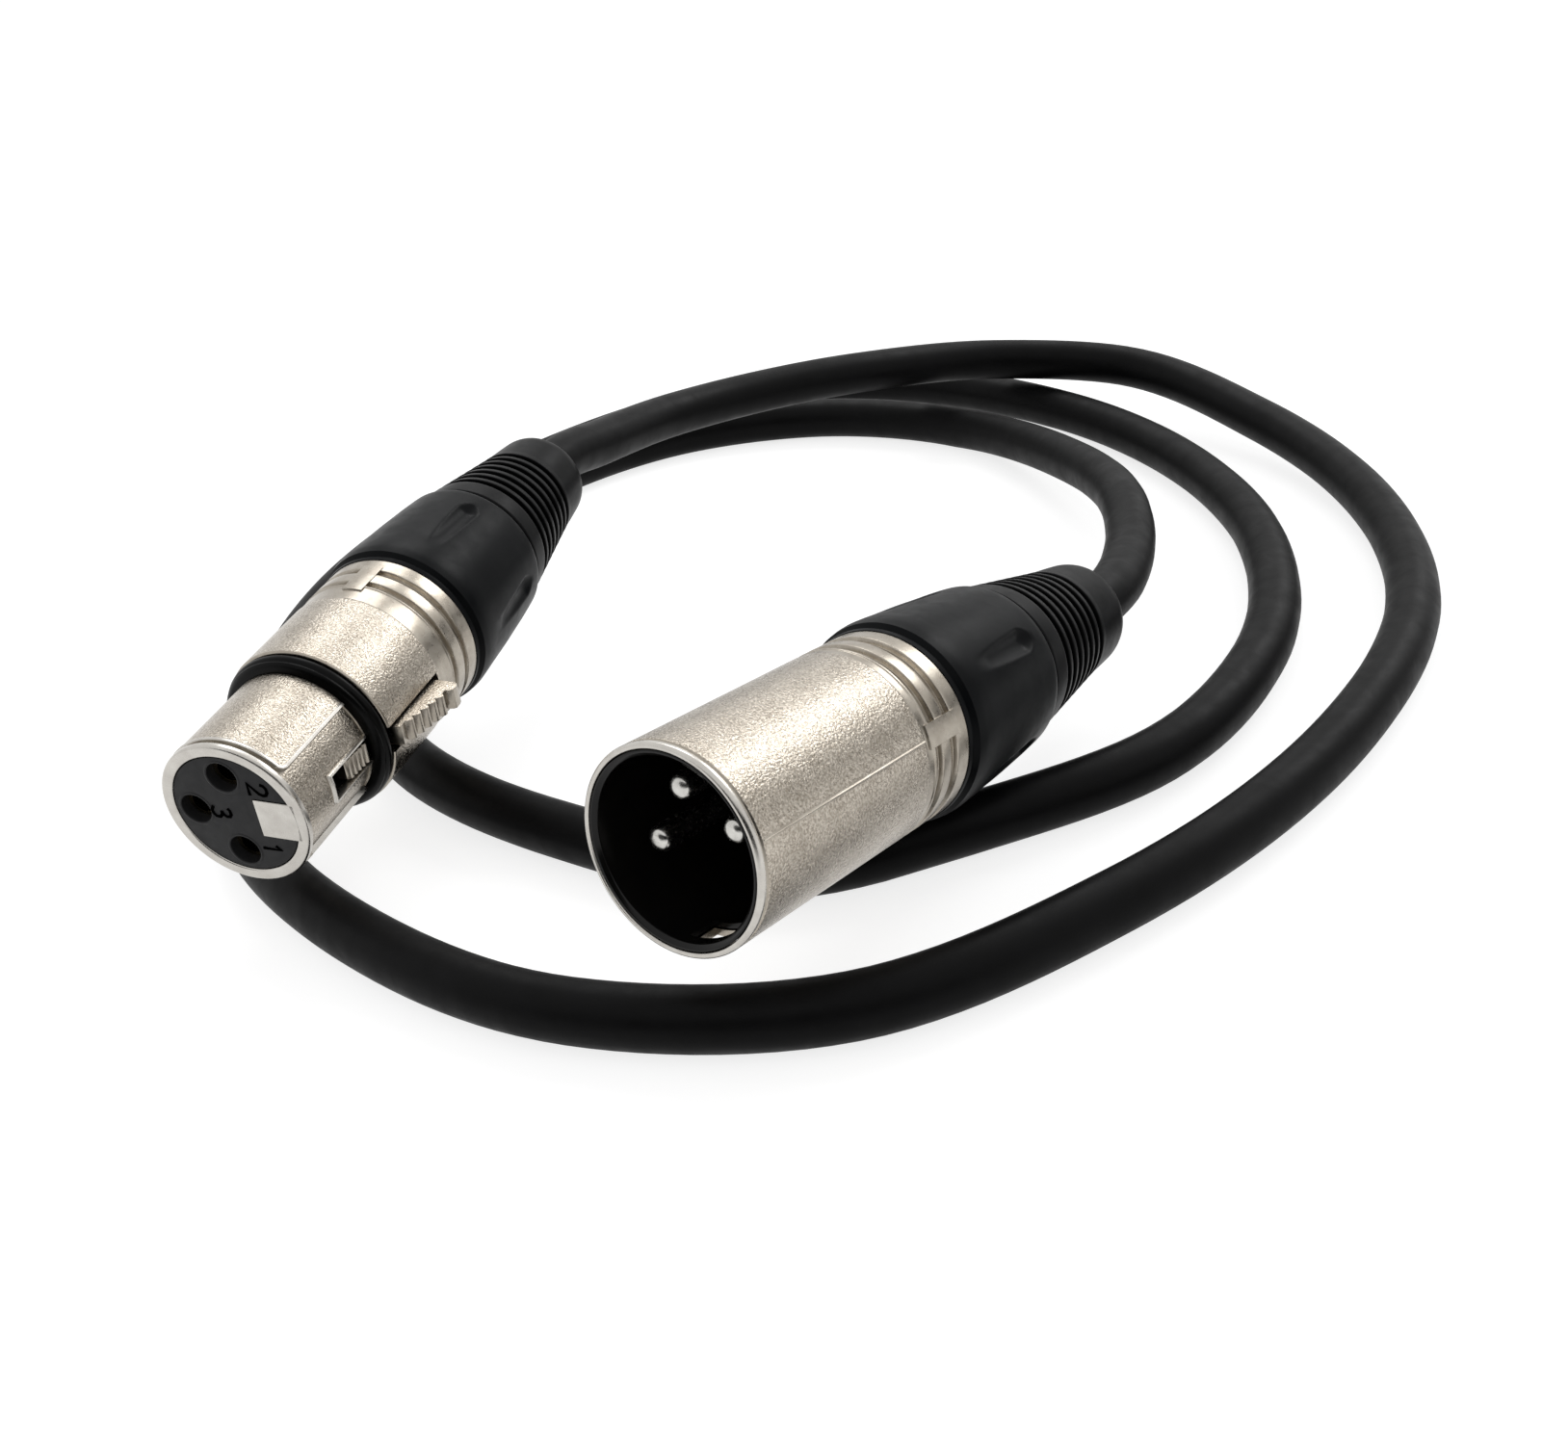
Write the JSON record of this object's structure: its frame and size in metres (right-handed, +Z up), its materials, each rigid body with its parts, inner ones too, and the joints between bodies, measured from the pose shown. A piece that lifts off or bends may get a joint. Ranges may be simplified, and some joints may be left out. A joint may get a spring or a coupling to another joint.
{
  "type": "coiled microphone cable",
  "caption": "Coiled microphone cable with a three-pole male plug and a latching three-pole female plug, each with a screwed clamp nut and a grooved strain relief.",
  "frame": {"origin": "middle of the bottom of the whole object, on the surface the coil lies on", "axes": "+Z up; +Y from the mating faces across the coil to the cable ends of the plugs; +X to the right seen from the mating faces"},
  "size_m": [0.1472, 0.1804, 0.0305],
  "materials": {
    "jacket": "matte",
    "shell_metal": "satin nickel plate",
    "insert_black": "satin",
    "pin_metal": "polished silver plate",
    "contact_metal": "plated",
    "wire_red": "satin",
    "wire_white": "satin",
    "wire_blue": "satin",
    "chuck_plastic": "matte",
    "nut_black": "satin",
    "relief_rubber": "satin",
    "ring_black": "satin",
    "latch_metal": "satin nickel plate",
    "spring_steel": "bare"
  },
  "bodies": {
    "cord": {"cable": "jacket", "male_shell": "shell_metal", "male_insert": "insert_black", "male_pin_1": "pin_metal", "male_pin_2": "pin_metal", "male_pin_3": "pin_metal", "male_wire_1": "wire_blue", "male_wire_2": "wire_red", "male_wire_3": "wire_white", "male_chuck": "chuck_plastic", "female_shell": "shell_metal", "shoulder_ring": "ring_black", "female_insert": "insert_black", "female_contact_1": "contact_metal", "female_contact_2": "contact_metal", "female_contact_3": "contact_metal", "female_wire_1": "wire_blue", "female_wire_2": "wire_red", "female_wire_3": "wire_white", "latch_spring": "spring_steel", "latch_pin": "spring_steel", "female_chuck": "chuck_plastic"},
    "male_sleeve": {"male_relief": "relief_rubber"},
    "male_clamp": {"male_nut": "nut_black"},
    "female_sleeve": {"female_relief": "relief_rubber"},
    "female_clamp": {"female_nut": "nut_black"},
    "latch": {"latch_lever": "latch_metal"}
  },
  "joints": [
    {"name": "male_sleeve_slide", "type": "slide", "parent": "cord", "child": "male_sleeve", "axis": [0.644, 0.7513, -0.1444], "range_m": [0, 0.005]},
    {"name": "male_nut_turn", "type": "hinge", "parent": "male_sleeve", "child": "male_clamp", "pos_m": [0.00691, -0.0545, 0.01562], "axis": [0.644, 0.7513, -0.1444], "range_deg": [0, 1440]},
    {"name": "female_sleeve_slide", "type": "slide", "parent": "cord", "child": "female_sleeve", "axis": [0.3956, 0.9143, 0.0872], "range_m": [0, 0.005]},
    {"name": "female_nut_turn", "type": "hinge", "parent": "female_sleeve", "child": "female_clamp", "pos_m": [-0.04428, -0.01871, 0.01917], "axis": [0.3956, 0.9143, 0.0872], "range_deg": [0, 1440]},
    {"name": "latch_press", "type": "hinge", "parent": "cord", "child": "latch", "pos_m": [-0.04329, -0.03299, 0.01754], "axis": [-0.0375, 0.1109, -0.9931], "range_deg": [0, 3], "stiffness_Nm_per_rad": 0.3, "springref_deg": -2.86}
  ],
  "couplings": [
    {"joint": "male_nut_turn", "follows": "male_sleeve_slide", "rad_per_m": 5026.5},
    {"joint": "female_nut_turn", "follows": "female_sleeve_slide", "rad_per_m": 5026.5}
  ]
}
